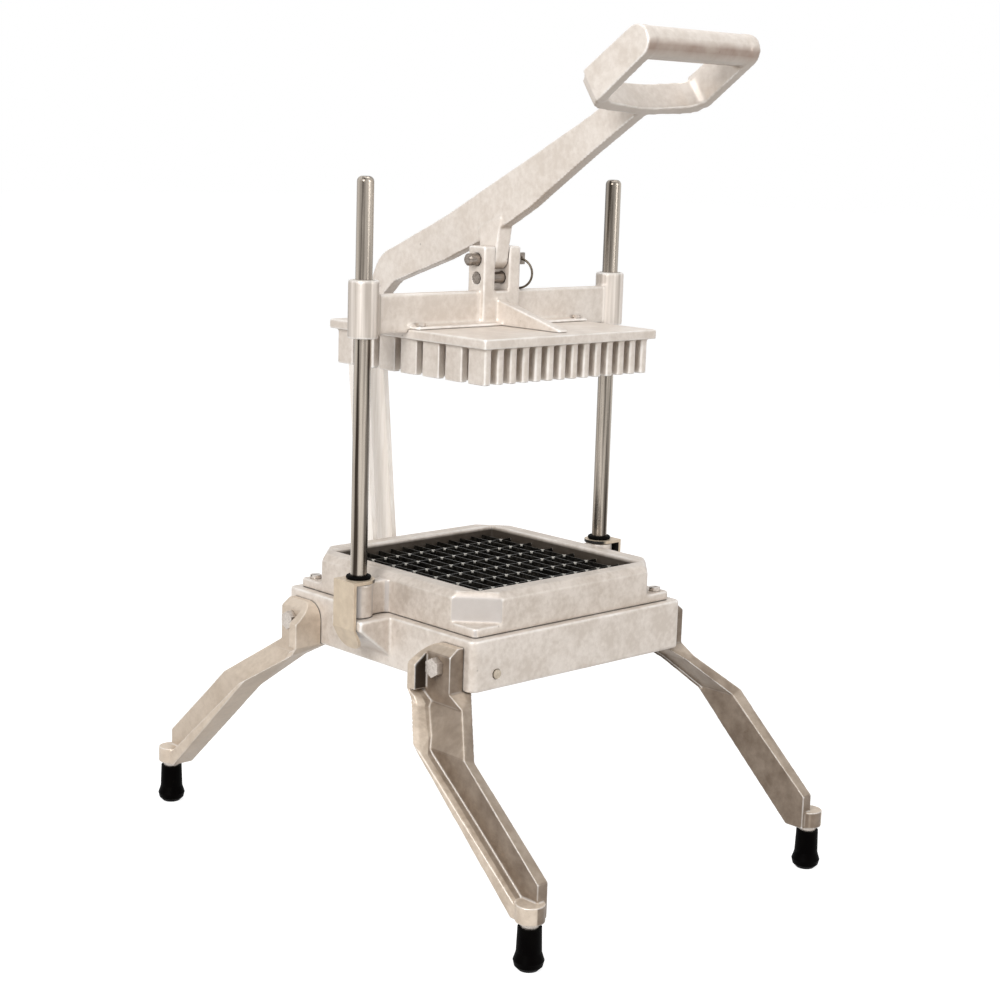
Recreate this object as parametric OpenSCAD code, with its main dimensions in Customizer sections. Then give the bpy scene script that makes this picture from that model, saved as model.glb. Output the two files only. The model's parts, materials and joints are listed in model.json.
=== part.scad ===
// Lettuce cutter: cast base on four splayed legs, blade frame, guided pusher and lever.
// Millimetres, +Z up, +X to the right seen from the front, +Y to the rear.
// The origin is on the floor under the middle of the base.

/* [Feet and legs] */
// Distance between the foot centres, left to right
foot_span_x = 304; // [280:2:340]
// Distance between the foot centres, front to rear
foot_span_y = 437; // [400:1:500]
// Height of a rubber foot
foot_h = 31; // [24:0.5:40]
// Width of a rubber foot at its top
foot_top_d = 17; // [15:0.5:20]
// Largest width of a rubber foot
foot_d = 22; // [21:0.5:30]
// Thread size of the foot stud
stud_d = 8; // [6:0.5:9]
// Width of the collar on the stud
collar_d = 13; // [11:0.5:15]
// Height of the collar on the stud
collar_h = 3.5; // [2:0.5:6]
// Width of the leg at its end, above the foot
leg_end_w = 19.5; // [16:0.5:24]
// Width of the leg at the knee, left to right
knee_w = 21; // [18:0.5:26]
// Width of the leg at the knee, front to rear
knee_d = 39; // [32:0.5:44]
// Thickness of the leg plate
leg_plate = 10; // [7:0.5:12]
// Thickness of the flange under the leg plate, front to rear
leg_flange = 8; // [6:0.5:10]
// Distance of the knee outside the base wall, to the side
knee_out = 27.5; // [22:0.5:34]
// Distance of the knee beyond the leg pad, to the front or rear
knee_fore = 42; // [32:0.5:46]
// Distance of the knee below the base
knee_drop = 36.5; // [28:0.5:44]
// Width of the leg pad on the side of the base
pad_w = 34; // [32:1:42]
// Height of the leg pad on the side of the base
pad_h = 33; // [28:1:36]
// Distance of the leg pad centre from the front or rear wall of the base
pad_in = 26.5; // [22:0.5:32]
// How far the leg pad stands out from the base
pad_out = 25; // [22:0.5:30]
// Thickness of the leg pad under the bolt head
pad_floor = 13.5; // [11:0.5:18]
// Thread size of the leg bolt
leg_bolt_d = 8; // [6:0.5:10]

/* [Base] */
// How far the base stands out beyond the blade frame, to each side
base_ledge_x = 7.5; // [4:0.5:14]
// How far the base stands out beyond the blade frame, to the front and rear
base_ledge_y = 6.5; // [4:0.5:14]
// Height of the base wall
base_h = 39; // [36:0.5:48]
// Free height under the base
base_clear = 162; // [155:1:180]
// Wall thickness of the base casting
base_wall = 8; // [6:0.5:10]
// Thickness of the top flange of the base
base_top_t = 9; // [7:0.5:12]
// Radius of the base corners
base_r = 6; // [3:0.5:12]
// Width of a corbel under a guide rod
corbel_w = 35; // [30:1:40]
// Diameter of the plug in the front wall
plug_d = 7; // [5:0.5:10]

/* [Blade frame] */
// Thickness of the left and right walls of the blade frame
frame_wall_x = 17.4; // [16:0.2:21]
// Thickness of the front and rear walls of the blade frame
frame_wall_y = 16.8; // [16:0.2:21]
// Gap between the fingers and the wall of the cutting opening
cut_gap = 1.8; // [1:0.1:4]
// Height of the blade frame
frame_h = 30.8; // [29:0.2:31]
// Length that each corner is cut off along the sides
corner_cut = 27; // [22:0.5:32]
// Thickness of the corner tabs
tab_t = 7; // [5:0.5:9]
// Bevel along the upper outer edge
rim_bevel = 5; // [2:0.5:7]
// Diameter of the bosses around the guide rods
rod_boss_d = 22; // [19:0.5:24]
// Height of the bosses around the guide rods
rod_boss_h = 26.6; // [24:0.1:28]
// Thread size of the frame screws
frame_screw_d = 5; // [4:0.5:6]

/* [Blades and fingers] */
// Spacing of the long blades, left to right
pitch_x = 12.7; // [12:0.1:13]
// Spacing of the cross blades, front to rear
pitch_y = 25.4; // [24:0.1:25.8]
// Number of finger columns, left to right
columns = 14; // [10:1:14]
// Number of finger rows, front to rear
rows = 7; // [5:1:7]
// Thickness of a blade
blade_t = 0.8; // [0.5:0.1:1.2]
// Height of a blade
blade_h = 16; // [12:0.5:20]
// Diameter of the rods that hold the blade ends
blade_rod_d = 3; // [2:0.5:4]
// Width of a finger, left to right
finger_w = 6.5; // [5:0.1:9]
// Depth of a finger, front to rear
finger_d = 18.4; // [14:0.1:21]
// Length of the fingers under the plate
finger_h = 27; // [22:0.5:28]
// How far the pusher plate stands out beyond the fingers
plate_edge = 4.8; // [3:0.2:6]
// Thickness of the pusher plate
plate_t = 7.4; // [6:0.2:9]

/* [Guide rods] */
// Distance of the guide rods outside the base walls
rod_out = 17.5; // [15.5:0.5:22]
// Diameter of the guide rods
rod_d = 12.7; // [10:0.1:13]
// Height of the rod tops above the floor
rod_top = 529; // [500:1:560]
// Thickness of the rubber bumper rings
bumper_h = 3.2; // [2:0.1:4]
// Thickness of the frame clips
clip_t = 2.4; // [1.5:0.1:3]
// Width of the frame clips
clip_w = 24.6; // [22:0.2:30]

/* [Pusher] */
// Travel of the pusher
stroke = 176.5; // [150:0.5:185]
// Diameter of the sliding bosses
slide_boss_d = 23; // [20:0.5:26]
// Height of the sliding bosses
slide_boss_h = 43; // [36:0.5:46]
// Outer diameter of the bush liners
bush_d = 16; // [15:0.5:18]
// Thickness of the crossbar
bar_t = 10; // [7:0.5:12]
// Height of the crossbar above the plate
bar_h = 26.5; // [20:0.5:30]
// Gap between the clevis ears
ear_gap = 15; // [13:0.5:18]
// Thickness of one clevis ear
ear_t = 11.5; // [8:0.5:14]
// Depth of the clevis ears, front to rear
ear_d = 18.5; // [16:0.5:24]
// Thickness of the ribs in front of and behind the crossbar
rib_t = 9; // [6:0.5:12]

/* [Pins] */
// Height of the lever pivot above the pusher plate
pivot_h = 50.4; // [48:0.2:56]
// Diameter of the release pin
pin_d = 9.5; // [8:0.1:10]
// Diameter of the cross pin
cross_pin_d = 9; // [6:0.5:10]
// Distance of the cross pin under the lever pivot
cross_pin_drop = 14.4; // [13.8:0.2:16]
// Radius of the wire ring
ring_r = 11.5; // [9:0.5:14]
// Thickness of the ring wire
wire_d = 1.8; // [1.2:0.1:2.2]

/* [Lever] */
// Thickness of the lever arm
arm_t = 11; // [9:0.5:13]
// Radius of the lug around the release pin
lug_r = 8; // [7:0.5:8.5]
// Distance of the tail hole behind the pivot
tail_back = 155.8; // [150:0.2:160]
// Distance of the tail hole below the pivot
tail_drop = 66.7; // [62:0.1:70]
// Radius of the tail boss
tail_r = 10.5; // [8:0.5:12]
// Distance of the grip in front of the pivot
grip_out = 194.3; // [185:0.5:210]
// Height of the grip above the pivot
grip_rise = 157.8; // [145:0.5:165]
// Diameter of the grip
grip_d = 22.4; // [20:0.2:26]
// Width of the handle
handle_w = 117; // [108:1:126]
// Wall thickness of the handle bow
bow_t = 9; // [7:0.5:11]
// Height of the handle bow
bow_h = 25.5; // [22:0.5:28]
// Length of the handle bow behind the grip
bow_len = 56; // [50:0.5:62]

/* [Link] */
// Distance of the lower link pin behind the rear wall of the base
link_out_y = 21.5; // [16:0.5:27]
// Height of the lower link pin above the underside of the base
link_up = 23; // [16:0.5:26]
// Width of the link bars
link_w = 20.5; // [17:0.5:23]
// Thickness of the link bars
link_t = 4.6; // [3:0.2:6]
// Diameter of the link pins
link_pin_d = 9.5; // [8:0.5:10]

/* [Hidden] */
$fn = 48;
// clearances and overlaps
run_fit = 0.05;
bush_fit = 0.02;
slack = 0.3;
loose = 0.15;
eps = 0.01;
past = 1;
// finger field, cutting opening, and the castings around it
field_w = (columns - 1) * pitch_x + finger_w;
field_d = (rows - 1) * pitch_y + finger_d;
plate_w = field_w + 2 * plate_edge;
plate_d = field_d + 2 * plate_edge;
cut_w = field_w + 2 * cut_gap;
cut_d = field_d + 2 * cut_gap;
frame_w = cut_w + 2 * frame_wall_x;
frame_d = cut_d + 2 * frame_wall_y;
base_w = frame_w + 2 * base_ledge_x;
base_d = frame_d + 2 * base_ledge_y;
rod_x = base_w / 2 + rod_out;
rod_span = 2 * rod_x;
// levels
z_base0 = base_clear;
z_base1 = base_clear + base_h;
z_frame1 = z_base1 + frame_h;
z_boss1 = z_base1 + rod_boss_h;
z_clip1 = z_boss1 + clip_t;
z_bumper1 = z_clip1 + bumper_h;
bump_gap = 1.4;
z_slide0 = z_bumper1 + bump_gap + stroke;
// the plate stays clear of the rim when the pusher rests on the bumpers
plate_drop = 2;
rim_gap = 0.7;
z_plate0 = max(z_slide0 - plate_drop, z_frame1 + rim_gap + stroke);
z_plate1 = z_plate0 + plate_t;
z_finger0 = z_plate0 - finger_h;
z_bar1 = z_plate1 + bar_h;
z_pivot = z_plate1 + pivot_h;
// blades, notched halfway into each other
blade_drop = 7;
z_blade1 = z_frame1 - blade_drop;
z_blade0 = z_blade1 - blade_h;
z_notch = (z_blade0 + z_blade1) / 2;
z_long_rod = z_notch + blade_h / 4;
z_cross_rod = z_notch - blade_h / 4;
slot_in = 7.5;
blade_half_x = cut_w / 2 + slot_in;
blade_half_y = cut_d / 2 + slot_in;
blade_rod_in = 4;
blade_rod_over = 4;
long_rod_half = (columns / 2 - 1) * pitch_x + blade_rod_over;
cross_rod_half = (rows / 2 - 1) * pitch_y + blade_rod_over;
slot_w = blade_t + 2 * loose;
blade_rod_x = cut_w / 2 + blade_rod_in;
blade_rod_y = cut_d / 2 + blade_rod_in;
rim_ease = 1.3 * rim_bevel;
// corner tabs and screws
tab_r = 4;
tab_x = frame_w / 2 - 8.5;
tab_y = frame_d / 2 - 8.5;
screw_head_d = 2 * frame_screw_d - 1;
screw_head_h = 3;
screw_len = tab_t + base_top_t - 1;
screw_slot_w = 1.2;
screw_slot_d = 1.2;
// corbel, clip and bumper ring
corbel_over = 11.2;
corbel_out = rod_out + corbel_over;
corbel_x = base_w / 2 + corbel_out;
corbel_lip = 7.5;
corbel_foot = 8.5;
web_w = 8;
web_root = 6;
web_ease = 3;
clip_x = corbel_x + slack;
clip_tail = 18.5;
clip_lean = 27;
tail_round = 10;
clip_tail_x = clip_tail * sin(clip_lean) - clip_x;
clip_bend_z = z_base1 - corbel_lip;
clip_tail_z = clip_bend_z - clip_tail * cos(clip_lean);
ring_mid_r = rod_d / 2 + bush_fit + bumper_h / 2;
rod_sink = 9;
rod_round = 4;
// legs
foot_x = foot_span_x / 2;
foot_y = foot_span_y / 2;
leg_end_z = foot_h + collar_h;
pad_y = base_d / 2 - pad_in;
pad_x = base_w / 2 + pad_floor;
root_under = 8.5;
root_x0 = base_w / 2 - root_under;
root_x1 = base_w / 2 + pad_out;
root_y0 = pad_y - pad_w / 2;
root_y1 = pad_y + pad_w / 2;
bend_fore = 14.5;
bend_drop = 10;
bend_flare = 9.5;
bend_rise = 0.15;
knee_x = base_w / 2 + knee_out;
knee_y = pad_y + knee_fore;
knee_z = z_base0 - knee_drop;
knee_flare = 4;
knee_rise = 0.3;
flange_dip = 4;
slice_t = 0.2;
// sections of a leg: inner face, outer face, flange end, rear edge, front edge, height, rise, flare
leg_root = [root_x0, pad_x, root_x1, root_y0, root_y1, z_base0 - slice_t / 2, 0, 0];
leg_bend = [
    pad_x - leg_plate, pad_x, root_x1,
    root_y0 + bend_fore, root_y1 + bend_fore, z_base0 - bend_drop, bend_rise, bend_flare
];
leg_knee = [
    knee_x, knee_x + leg_plate, knee_x + knee_w,
    knee_y - knee_d / 2, knee_y + knee_d / 2, knee_z, knee_rise, knee_flare
];
leg_end_x = foot_x - 12.5;
leg_end_y0 = foot_y - 12.5;
leg_end_y1 = foot_y + 4;
leg_end_h = 26;
flange_end_h = 7;
foot_boss_d = foot_d - 1;
foot_boss_h = 13;
stud_up = 11;
stud_down = 16;
foot_sole = 4;
foot_round = 3;
foot_bulge_z = 7;
foot_neck_z = 13;
pad_rim = 9;
pad_fall = 14;
pad_slope_z = z_base0 + pad_h - pad_fall;
pad_top_flat = 6;
pad_round = 14;
bolt_y = pad_y + 3;
bolt_z = z_base0 + 18;
bolt_head_d = 1.85 * leg_bolt_d;
bolt_head_h = 0.7 * leg_bolt_d;
nut_h = 0.8 * leg_bolt_d;
bolt_tip = 2;
bolt_seat = -pad_x;
nut_seat = -base_w / 2 + base_wall;
bolt_end = nut_seat + nut_h + bolt_tip;
// plug
plug_side = 24.5;
plug_x = plug_side - base_w / 2;
plug_z = z_base0 + 11.5;
plug_in = 4;
plug_proud = 0.6;
// pusher head
ear_out = ear_gap / 2 + ear_t;
ear_over = 10.3;
z_ear1 = z_pivot + ear_over;
bar_drop = 3;
shoe_in = 1;
shoe_w = plate_w - 2 * shoe_in;
shoe_d = 32;
shoe_t = 2.4;
rib_reach = plate_d / 2 - 12;
rib_low = 2;
rib_high = bar_h - 6.5;
block_screw_x = shoe_w / 2 - 7;
block_screw_y = shoe_d / 2 - 6;
block_screw_d = 4;
block_head_d = 7.4;
block_head_h = 2.4;
block_skin = 1;
block_screw_gap = 0.5;
// release pin
pin_left = ear_out + 8.5;
pin_nose = 1.5;
pin_head_d = pin_d + 3;
pin_head_x0 = ear_out + slack;
pin_head_t = 2.6;
eye_t = 3.4;
eye_out = 4.2;
ball_d = 3;
ball_in = 4.2;
ring_hole_d = wire_d + 3.2;
ring_x = pin_head_x0 + pin_head_t + eye_out;
pin_eye_x1 = ring_x + eye_out + 0.6;
ring_turn = -66.5;
// lever
lug_t = ear_gap - 2 * slack;
tail_t = 2 * (ear_gap / 2 + slack);
elbow_r = 32;
elbow_back = 110.5;
elbow_drop = 29.2;
elbow_rise = 23;
elbow_cap = 6;
tail_lean = 30;
// under and upper edges of the arm, forward and up from the pivot
arm_under = [[-127, -36], [-115, -25.5], [-53, -4], [0, 18], [41, 40.7], [102, 81.7]];
arm_upper = [[102, 110], [41, 78.6], [0, 58], [-53, 30.9]];
lug_root_front = [5, 34];
lug_root_rear = [-5, 24];
grip_slope = 35;
neck_w = 18;
bow_sag = 9;
bow_corner = 10;
back_low = 4;
bow_tuck = 0.4;
grip_step = 0.4;
bow_back = bow_len + bow_sag;
// link
link_y = base_d / 2 + link_out_y;
link_z = z_base0 + link_up;
link_in = tail_t / 2 + slack;
link_out = link_in + link_t;
link_top_y = tail_back;
link_top_z = z_pivot - tail_drop;
link_len = norm([link_top_y - link_y, link_top_z - link_z]);
link_lean = atan2(link_top_y - link_y, link_top_z - link_z);
lug_w = 2 * (link_in - slack);
lug_h_r = 11;
lug_low = 3;
lug_high = 2;
ring_clip_t = 1.5;
ring_clip_d = link_pin_d + 5;
ring_clip_gap = 0.1;
ring_clip_mouth = link_pin_d - 3.2;
clip_face = link_out + slack;
ring_clip_x1 = clip_face + ring_clip_t;
groove_d = link_pin_d - 2;
link_pin_half = link_out + slack + ring_clip_t + 1.5;
top_head_d = 15;
top_head_h = 4.5;

// Helpers

// Children drawn for the front left corner, moved to the corner with signs sx and sy.
module corner(sx, sy) {
    mirror([sx > 0 ? 1 : 0, 0, 0])
        mirror([0, sy > 0 ? 1 : 0, 0])
            children();
}

// Children drawn for the left side, moved to the side with sign sx.
module side(sx) {
    mirror([sx > 0 ? 1 : 0, 0, 0])
        children();
}

// Flat shape in (Y, Z) made solid along X, from x0 to x1.
module along_x(x0, x1) {
    translate([x0, 0, 0])
        rotate([90, 0, 90])
            linear_extrude(x1 - x0)
                children();
}

// Flat shape in (X, Z) made solid along Y, from y0 to y1.
module along_y(y0, y1) {
    translate([0, y1, 0])
        rotate([90, 0, 0])
            linear_extrude(y1 - y0)
                children();
}

// Round bar along X.
module rod_x_axis(x0, x1, d) {
    translate([x0, 0, 0])
        rotate([0, 90, 0])
            cylinder(d = d, h = x1 - x0);
}

// Round bar along Y.
module rod_y_axis(y0, y1, d) {
    translate([0, y1, 0])
        rotate([90, 0, 0])
            cylinder(d = d, h = y1 - y0);
}

module rounded_rect(w, d, r) {
    square([w - 2 * r, d], center = true);
    square([w, d - 2 * r], center = true);
    for (x = [-1, 1], y = [-1, 1])
        translate([x * (w / 2 - r), y * (d / 2 - r)])
            circle(r);
}

// Outline of the blade frame, with its corners cut off.
module cut_outline(w, d, c) {
    polygon([
        [-w / 2 + c, -d / 2], [w / 2 - c, -d / 2],
        [w / 2, -d / 2 + c], [w / 2, d / 2 - c],
        [w / 2 - c, d / 2], [-w / 2 + c, d / 2],
        [-w / 2, d / 2 - c], [-w / 2, -d / 2 + c]
    ]);
}

// Base

module corbel_shape() {
    polygon([
        [-base_w / 2 + base_wall, z_base1],
        [-corbel_x, z_base1],
        [-corbel_x, z_base1 - corbel_lip],
        [-base_w / 2, z_base0 + corbel_foot],
        [-base_w / 2 + base_wall, z_base0 + corbel_foot]
    ]);
}

module rear_lug_shape() {
    difference() {
        union() {
            translate([link_y, link_z])
                circle(lug_h_r);
            polygon([
                [base_d / 2 - base_wall, z_base0 + lug_low],
                [link_y, link_z - lug_h_r],
                [link_y, link_z + lug_h_r],
                [base_d / 2 - base_wall, z_base1 - lug_high]
            ]);
        }
        translate([link_y, link_z])
            circle(d = link_pin_d + 2 * bush_fit);
    }
}

module base_frame() {
    color("Silver")
    difference() {
        union() {
            translate([0, 0, z_base0])
                linear_extrude(base_h)
                    rounded_rect(base_w, base_d, base_r);
            for (s = [-1, 1])
                side(s)
                    along_y(-corbel_w / 2, corbel_w / 2)
                        corbel_shape();
            along_x(-lug_w / 2, lug_w / 2)
                rear_lug_shape();
        }
        // opening under the blades
        translate([0, 0, z_base0 - past])
            linear_extrude(base_h + 2 * past)
                square([cut_w, cut_d], center = true);
        // hollow under the top flange
        translate([0, 0, z_base0 - past])
            linear_extrude(base_h - base_top_t + past)
                square([base_w - 2 * base_wall, base_d - 2 * base_wall], center = true);
        // seats of the guide rods
        for (s = [-1, 1])
            translate([s * rod_x, 0, z_base1 - rod_sink])
                cylinder(d = rod_d + 2 * bush_fit, h = rod_sink + past);
        // leg bolt holes
        for (s = [-1, 1], t = [-1, 1])
            corner(s, t)
                translate([0, -bolt_y, bolt_z])
                    rod_x_axis(-base_w / 2 - past, -base_w / 2 + base_wall + past, leg_bolt_d + 2 * loose);
        // frame screw holes
        for (s = [-1, 1])
            translate([s * tab_x, -s * tab_y, z_base1 - base_top_t - past])
                cylinder(d = frame_screw_d + 2 * loose, h = base_top_t + 2 * past);
        // seat of the plug
        translate([plug_x, 0, plug_z])
            rod_y_axis(-base_d / 2 - past, -base_d / 2 + plug_in, plug_d + 2 * bush_fit);
    }
}

module front_plug() {
    color("Gray")
    translate([plug_x, 0, plug_z])
        rod_y_axis(-base_d / 2 - plug_proud, -base_d / 2 + plug_in - eps, plug_d);
}

// Blade frame

module rod_web() {
    polygon([
        [-frame_w / 2 + web_root, -web_w / 2 - web_ease],
        [-frame_w / 2, -web_w / 2 - web_ease],
        [-frame_w / 2 - web_ease, -web_w / 2],
        [-rod_x, -web_w / 2],
        [-rod_x, web_w / 2],
        [-frame_w / 2 - web_ease, web_w / 2],
        [-frame_w / 2, web_w / 2 + web_ease],
        [-frame_w / 2 + web_root, web_w / 2 + web_ease]
    ]);
}

// The blades go in from below, so the rim stays whole.
module blade_slots() {
    for (i = [1 : columns - 1])
        translate([(i - columns / 2) * pitch_x - slot_w / 2, -blade_half_y - loose, z_base1 - past])
            cube([slot_w, 2 * (blade_half_y + loose), z_blade1 + loose - z_base1 + past]);
    for (i = [1 : rows - 1])
        translate([-blade_half_x - loose, (i - rows / 2) * pitch_y - slot_w / 2, z_base1 - past])
            cube([2 * (blade_half_x + loose), slot_w, z_blade1 + loose - z_base1 + past]);
}

module blade_frame() {
    color("Gainsboro")
    difference() {
        union() {
            translate([0, 0, z_base1])
                linear_extrude(frame_h - rim_bevel)
                    cut_outline(frame_w, frame_d, corner_cut);
            hull() {
                translate([0, 0, z_frame1 - rim_bevel - eps])
                    linear_extrude(eps)
                        cut_outline(frame_w, frame_d, corner_cut);
                translate([0, 0, z_frame1 - eps])
                    linear_extrude(eps)
                        cut_outline(frame_w - 2 * rim_bevel, frame_d - 2 * rim_bevel, corner_cut - rim_ease);
            }
            // flange with square corners, which carry the screws
            translate([0, 0, z_base1])
                linear_extrude(tab_t)
                    rounded_rect(frame_w, frame_d, tab_r);
            for (s = [-1, 1])
                side(s)
                    translate([0, 0, z_base1])
                        linear_extrude(rod_boss_h) {
                            translate([-rod_x, 0])
                                circle(d = rod_boss_d);
                            rod_web();
                        }
        }
        translate([0, 0, z_base1 - past])
            linear_extrude(frame_h + 2 * past)
                square([cut_w, cut_d], center = true);
        blade_slots();
        // bores of the blade rods, open at the right and at the rear
        for (s = [-1, 1]) {
            translate([0, s * blade_rod_y, z_long_rod])
                rod_x_axis(-long_rod_half - loose, frame_w / 2 + past, blade_rod_d + 2 * bush_fit);
            translate([s * blade_rod_x, 0, z_cross_rod])
                rod_y_axis(-cross_rod_half - loose, frame_d / 2 + past, blade_rod_d + 2 * bush_fit);
        }
        for (s = [-1, 1])
            translate([s * rod_x, 0, z_base1 - past])
                cylinder(d = rod_d + 2 * bush_fit, h = rod_boss_h + 2 * past);
        for (s = [-1, 1])
            translate([s * tab_x, -s * tab_y, z_base1 - past])
                cylinder(d = frame_screw_d + 2 * loose, h = tab_t + 2 * past);
    }
}

module frame_screws() {
    color("DimGray")
    for (s = [-1, 1])
        translate([s * tab_x, -s * tab_y, z_base1 + tab_t]) {
            translate([0, 0, -screw_len])
                cylinder(d = frame_screw_d, h = screw_len + eps);
            difference() {
                cylinder(d = screw_head_d, h = screw_head_h);
                translate([-screw_head_d, -screw_slot_w / 2, screw_head_h - screw_slot_d])
                    cube([2 * screw_head_d, screw_slot_w, screw_head_h]);
            }
        }
}

// The long blades are notched from below, so they lie over the cross blades.
module long_blades() {
    color("Black")
    for (i = [1 : columns - 1])
        translate([(i - columns / 2) * pitch_x, 0, 0])
            difference() {
                translate([-blade_t / 2, -blade_half_y, z_blade0])
                    cube([blade_t, 2 * blade_half_y, blade_h]);
                for (k = [1 : rows - 1])
                    translate([-past, (k - rows / 2) * pitch_y - slot_w / 2, z_blade0 - past])
                        cube([2 * past, slot_w, z_notch + loose - z_blade0 + past]);
                for (s = [-1, 1])
                    translate([0, s * blade_rod_y, z_long_rod])
                        rod_x_axis(-past, past, blade_rod_d + 2 * loose);
            }
}

module cross_blades() {
    color("Black")
    for (i = [1 : rows - 1])
        translate([0, (i - rows / 2) * pitch_y, 0])
            difference() {
                translate([-blade_half_x, -blade_t / 2, z_blade0])
                    cube([2 * blade_half_x, blade_t, blade_h]);
                for (k = [1 : columns - 1])
                    translate([(k - columns / 2) * pitch_x - slot_w / 2, -past, z_notch - loose])
                        cube([slot_w, 2 * past, blade_h]);
                for (s = [-1, 1])
                    translate([s * blade_rod_x, 0, z_cross_rod])
                        rod_y_axis(-past, past, blade_rod_d + 2 * loose);
            }
}

module blade_rods() {
    color("Gray")
    for (s = [-1, 1]) {
        translate([0, s * blade_rod_y, z_long_rod])
            rod_x_axis(-long_rod_half, long_rod_half, blade_rod_d);
        translate([s * blade_rod_x, 0, z_cross_rod])
            rod_y_axis(-cross_rod_half, cross_rod_half, blade_rod_d);
    }
}

// Legs, drawn for the front left corner

// Height of a section at a place across the leg.
function section_z(c, x) = c[5] + c[6] * (x - c[0]);

function plate_corners(c) = [
    for (x = [c[0], c[1]], y = [c[3], c[4]])
        [-x, -y, section_z(c, x)]
];

// The flange flares to the rear as it stands out.
function flange_rear(c, x) = c[3] - c[7] * (x - c[0]) / (c[2] - c[0]);

function flange_corners(c) = [
    for (x = [c[0], c[2]], t = [0, 1])
        [-x, -flange_rear(c, x) - t * leg_flange, section_z(c, x) - t * flange_dip]
];

module specks(points) {
    for (p = points)
        translate(p)
            cube(slice_t, center = true);
}

// Plate and flange between two sections of the leg.
module leg_run(c0, c1) {
    hull()
        specks(concat(plate_corners(c0), plate_corners(c1)));
    hull()
        specks(concat(flange_corners(c0), flange_corners(c1)));
}

// From the knee down to the foot.
module leg_shank() {
    hull() {
        specks(plate_corners(leg_knee));
        translate([-leg_end_x - leg_plate, -leg_end_y1, leg_end_z])
            cube([leg_plate, leg_end_y1 - leg_end_y0, leg_end_h]);
    }
    hull() {
        specks(flange_corners(leg_knee));
        translate([-leg_end_x - leg_end_w, -leg_end_y0 - leg_flange, leg_end_z])
            cube([leg_end_w, leg_flange, flange_end_h]);
    }
    translate([-foot_x, -foot_y, leg_end_z])
        cylinder(d = foot_boss_d, h = foot_boss_h);
}

// Pad seen from the side, with a round corner towards the middle of the base.
module pad_shape() {
    translate([-root_y1, z_base0 - slice_t]) {
        square([pad_w, slice_t + pad_h - pad_round]);
        square([pad_w - pad_round, slice_t + pad_h]);
        translate([pad_w - pad_round, slice_t + pad_h - pad_round])
            circle(pad_round);
    }
}

module leg_pad() {
    difference() {
        intersection() {
            along_x(-root_x1, -base_w / 2)
                pad_shape();
            along_y(-pad_y - pad_w, -pad_y + pad_w)
                polygon([
                    [-base_w / 2, z_base0 + pad_h],
                    [-base_w / 2 - pad_top_flat, z_base0 + pad_h],
                    [-root_x1, pad_slope_z],
                    [-root_x1, z_base0 - past],
                    [-base_w / 2, z_base0 - past]
                ]);
        }
        // step down to the bolt seat, open to the front
        translate([-root_x1 - past, -root_y1 - past, z_base0 - past])
            cube([root_x1 - pad_x + past, pad_w - pad_rim + past, pad_h + 2 * past]);
    }
}

module leg_casting() {
    color("RosyBrown")
    difference() {
        union() {
            leg_pad();
            leg_run(leg_root, leg_bend);
            leg_run(leg_bend, leg_knee);
            leg_shank();
        }
        translate([0, -bolt_y, bolt_z])
            rod_x_axis(-root_x1, -base_w / 2 + past, leg_bolt_d + 2 * loose);
        translate([-foot_x, -foot_y, leg_end_z - past])
            cylinder(d = stud_d + 2 * bush_fit, h = stud_up + past);
    }
}

module leg_front_left() {
    corner(-1, -1)
        leg_casting();
}

module leg_front_right() {
    corner(1, -1)
        leg_casting();
}

module leg_rear_left() {
    corner(-1, 1)
        leg_casting();
}

module leg_rear_right() {
    corner(1, 1)
        leg_casting();
}

module leg_bolts() {
    color("Silver")
    for (s = [-1, 1], t = [-1, 1])
        corner(s, t)
            translate([0, -bolt_y, bolt_z]) {
                rod_x_axis(bolt_seat - eps, bolt_end, leg_bolt_d);
                translate([bolt_seat - bolt_head_h, 0, 0])
                    rotate([0, 90, 0])
                        cylinder(d = bolt_head_d, h = bolt_head_h, $fn = 6);
            }
}

module leg_nuts() {
    color("Gray")
    for (s = [-1, 1], t = [-1, 1])
        corner(s, t)
            translate([0, -bolt_y, bolt_z])
                difference() {
                    translate([nut_seat, 0, 0])
                        rotate([0, 90, 0])
                            cylinder(d = bolt_head_d, h = nut_h, $fn = 6);
                    rod_x_axis(nut_seat - past, nut_seat + nut_h + past, leg_bolt_d + 2 * bush_fit);
                }
}

module foot_studs() {
    color("Silver")
    for (s = [-1, 1], t = [-1, 1])
        translate([s * foot_x, t * foot_y, 0]) {
            translate([0, 0, foot_h - stud_down])
                cylinder(d = stud_d, h = stud_down + collar_h + stud_up - past);
            translate([0, 0, foot_h])
                cylinder(d = collar_d, h = collar_h);
        }
}

module rubber_foot(s, t) {
    color("DarkSlateGray")
    translate([s * foot_x, t * foot_y, 0])
        difference() {
            rotate_extrude()
                polygon([
                    [0, 0],
                    [foot_d / 2 - foot_sole, 0],
                    [foot_d / 2 - foot_round / 3, foot_round],
                    [foot_d / 2, foot_bulge_z],
                    [foot_d / 2 - foot_round / 3, (foot_bulge_z + foot_neck_z) / 2],
                    [foot_top_d / 2 + foot_round / 5, foot_neck_z],
                    [foot_top_d / 2, foot_h],
                    [0, foot_h]
                ]);
            translate([0, 0, foot_h - stud_down])
                cylinder(d = stud_d + 2 * bush_fit, h = stud_down + past);
        }
}

module foot_front_left() {
    rubber_foot(-1, -1);
}

module foot_front_right() {
    rubber_foot(1, -1);
}

module foot_rear_left() {
    rubber_foot(-1, 1);
}

module foot_rear_right() {
    rubber_foot(1, 1);
}

// Guide rods with their bumpers and clips

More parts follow.
